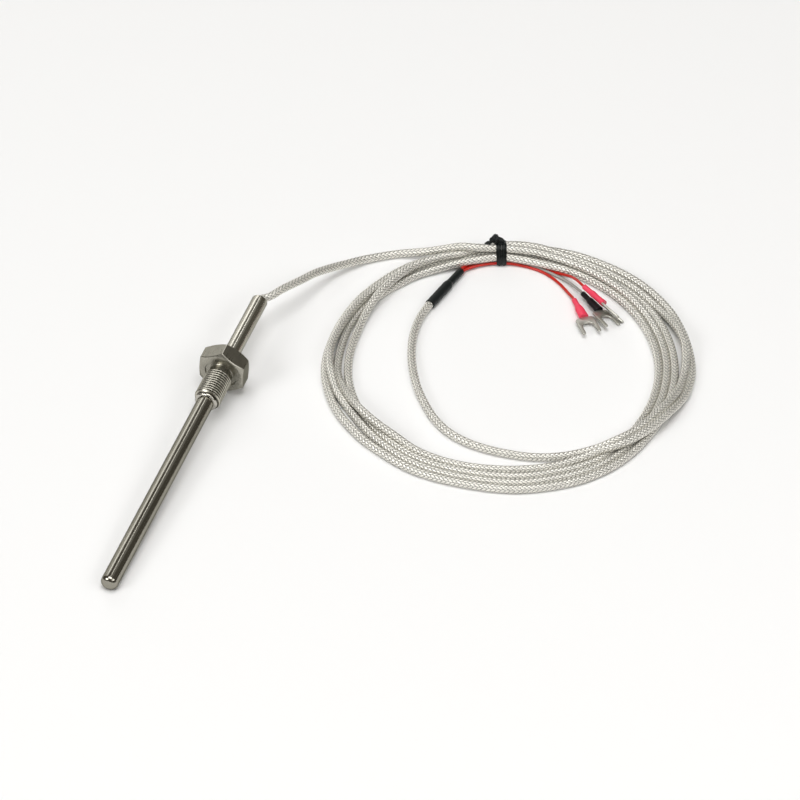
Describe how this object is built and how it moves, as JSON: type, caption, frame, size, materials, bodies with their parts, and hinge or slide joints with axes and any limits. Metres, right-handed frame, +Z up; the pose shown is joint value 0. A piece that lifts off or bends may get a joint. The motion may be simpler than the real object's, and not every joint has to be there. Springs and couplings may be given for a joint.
{
  "type": "threaded temperature probe with braided lead",
  "caption": "Steel-sheathed resistance temperature probe with a threaded hexagon fitting, a rear sleeve, and a tied coil of braided lead ending in insulated fork terminals.",
  "frame": {"origin": "on the floor under the middle of the probe's length, where the probe lies on its tip and on a corner of its hexagon", "axes": "+Y from the probe's tip towards its rear sleeve, +X towards the side where the lead lies coiled, +Z up from the floor"},
  "size_m": [0.1722, 0.2261, 0.0198],
  "materials": {
    "sheath_steel": "polished drawn stainless tube with fine lengthwise streaks",
    "sleeve_steel": "bright stainless tube with a finely grained surface",
    "fitting_steel": "turned and milled stainless, satin flats with bright edges",
    "braze": "smooth bright braze",
    "ceramic": "matt fired ceramic",
    "powder": "packed white oxide powder",
    "bare_wire": "bright nickel wire",
    "splice_metal": "plain crimped metal",
    "potting": "cast dark resin",
    "braid": "woven bright metal wire braid",
    "heat_shrink": "satin black shrunk tube",
    "red_insulation": "glossy red core insulation",
    "white_insulation": "greyish white core insulation",
    "red_boot": "soft pinkish red vinyl",
    "black_boot": "soft black vinyl",
    "tinned_copper": "dull tin plate on stamped sheet",
    "tie_plastic": "black coated wire strip"
  },
  "bodies": {
    "root": {"probe_sheath": "sheath_steel", "process_fitting": "fitting_steel", "braze_bead": "braze", "rear_sleeve": "sleeve_steel", "powder_fill": "powder", "sensing_element": "ceramic", "insulator": "ceramic", "element_wire_1": "bare_wire", "element_wire_2": "bare_wire", "wire_splice_1": "splice_metal", "wire_splice_2": "splice_metal", "core_wire_1": "white_insulation", "core_wire_2": "red_insulation", "core_wire_3": "red_insulation", "potting": "potting", "lead_front": "braid", "lead_coil": "braid", "lead_tail": "braid", "breakout_sleeve": "heat_shrink", "red_core_1": "red_insulation", "red_core_2": "red_insulation", "white_core": "white_insulation", "terminal_boot_1": "red_boot", "terminal_boot_2": "black_boot", "terminal_boot_3": "red_boot", "fork_terminal_1": "tinned_copper", "fork_terminal_2": "tinned_copper", "fork_terminal_3": "tinned_copper", "twist_tie": "tie_plastic"}
  },
  "joints": []
}
